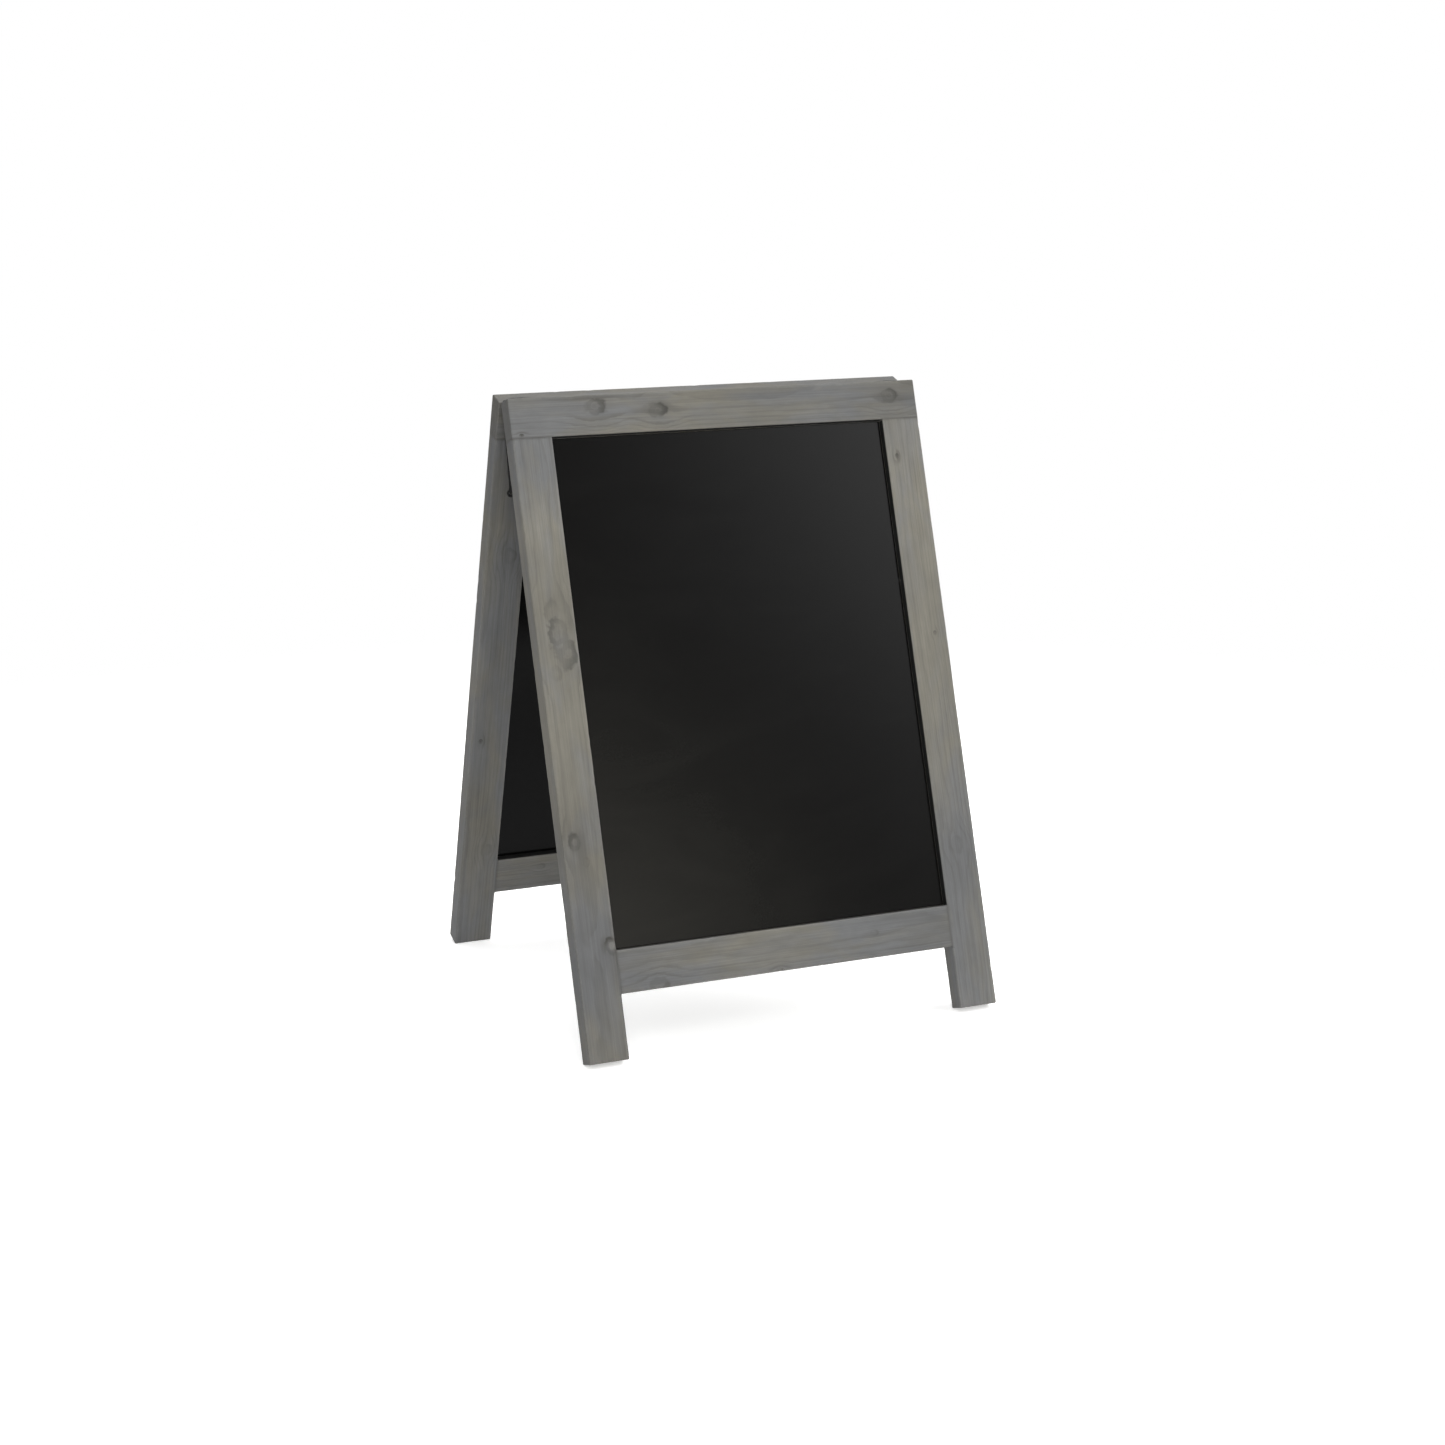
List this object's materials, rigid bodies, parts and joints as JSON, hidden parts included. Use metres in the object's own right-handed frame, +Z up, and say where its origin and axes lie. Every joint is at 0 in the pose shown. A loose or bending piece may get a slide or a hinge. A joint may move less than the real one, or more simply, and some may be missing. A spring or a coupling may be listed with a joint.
{
  "type": "sandwich board",
  "caption": "Free-standing folding A-frame chalkboard: timber frames with black writing panels, hinged along the top so that they fold flat.",
  "frame": {"origin": "on the ground in the middle of the feet, bottom centre of the standing board", "axes": "+Z up, +X to the right seen from the front along the hinge line, -Y towards the front panel's reader"},
  "size_m": [0.55, 0.5558, 0.7731],
  "materials": {
    "timber": "grey-washed softwood, open grain, matt",
    "dowel": "bare beech, hidden in the joints",
    "chalkboard": "wood-fibre board with a black chalkboard coating, soft sheen",
    "hinge_paint": "black satin coating on pressed steel",
    "screw": "black coated steel, worn at the recess"
  },
  "bodies": {
    "front_frame": {"front_left_stile": "timber", "front_right_stile": "timber", "front_top_rail": "timber", "front_bottom_rail": "timber", "front_chalkboard": "chalkboard", "front_top_dowels": "dowel", "front_bottom_dowels": "dowel", "left_hinge_front_leaf": "hinge_paint", "left_hinge_pin": "hinge_paint", "left_hinge_front_screws": "screw", "right_hinge_front_leaf": "hinge_paint", "right_hinge_pin": "hinge_paint", "right_hinge_front_screws": "screw"},
    "rear_frame": {"rear_left_stile": "timber", "rear_right_stile": "timber", "rear_top_rail": "timber", "rear_bottom_rail": "timber", "rear_chalkboard": "chalkboard", "rear_top_dowels": "dowel", "rear_bottom_dowels": "dowel", "left_hinge_rear_leaf": "hinge_paint", "left_hinge_rear_screws": "screw", "right_hinge_rear_leaf": "hinge_paint", "right_hinge_rear_screws": "screw"}
  },
  "joints": [
    {"name": "fold", "type": "hinge", "parent": "front_frame", "child": "rear_frame", "pos_m": [0, 0, 0.76437], "axis": [-1, 0, 0], "range_deg": [0, 36.2]}
  ]
}
